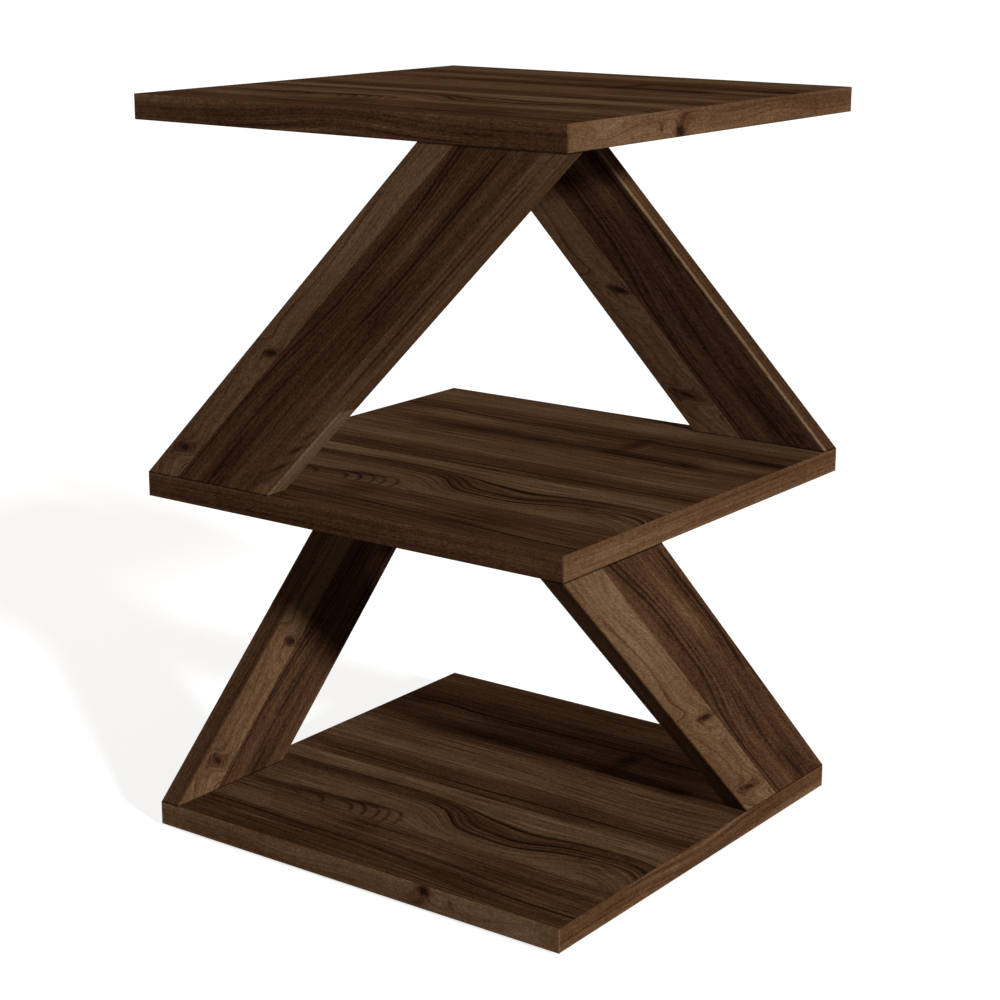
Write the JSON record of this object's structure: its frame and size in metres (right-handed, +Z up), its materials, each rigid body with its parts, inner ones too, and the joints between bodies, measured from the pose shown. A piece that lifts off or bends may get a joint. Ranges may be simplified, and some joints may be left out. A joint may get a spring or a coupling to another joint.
{
  "type": "side table",
  "caption": "Square side table with stacked shelves held apart by wide slanted board legs that zig-zag round its sides, in dark walnut decor board.",
  "frame": {"origin": "on the floor, under the middle of the table", "axes": "+Z up; the upper legs lie in the front (-Y) and back (+Y) faces, the lower legs in the left (-X) and right (+X) faces"},
  "size_m": [0.37, 0.37, 0.555],
  "materials": {
    "walnut_decor_board": "dark walnut print on chipboard, satin with fine pores",
    "walnut_edge_band": "dark walnut printed edge band, satin",
    "zinc_plated_steel": "bright zinc plated",
    "die_cast_zinc": "dull die-cast zinc",
    "beech": "bare beech",
    "glide_plastic": "dark brown moulded plastic"
  },
  "bodies": {
    "root": {"bottom_shelf": "walnut_decor_board", "middle_shelf": "walnut_decor_board", "top_shelf": "walnut_decor_board", "lower_left_leg": "walnut_decor_board", "lower_right_leg": "walnut_decor_board", "upper_front_leg": "walnut_decor_board", "upper_back_leg": "walnut_decor_board", "bottom_shelf_front_band": "walnut_edge_band", "bottom_shelf_right_band": "walnut_edge_band", "bottom_shelf_back_band": "walnut_edge_band", "bottom_shelf_left_band": "walnut_edge_band", "middle_shelf_front_band": "walnut_edge_band", "middle_shelf_right_band": "walnut_edge_band", "middle_shelf_back_band": "walnut_edge_band", "middle_shelf_left_band": "walnut_edge_band", "top_shelf_front_band": "walnut_edge_band", "top_shelf_right_band": "walnut_edge_band", "top_shelf_back_band": "walnut_edge_band", "top_shelf_left_band": "walnut_edge_band", "lower_left_leg_over_band": "walnut_edge_band", "lower_left_leg_under_band": "walnut_edge_band", "lower_right_leg_over_band": "walnut_edge_band", "lower_right_leg_under_band": "walnut_edge_band", "upper_front_leg_over_band": "walnut_edge_band", "upper_front_leg_under_band": "walnut_edge_band", "upper_back_leg_over_band": "walnut_edge_band", "upper_back_leg_under_band": "walnut_edge_band", "connecting_screws": "zinc_plated_steel", "cam_bolts": "zinc_plated_steel", "cam_locks": "die_cast_zinc", "dowels": "beech", "glides": "glide_plastic"}
  },
  "joints": []
}
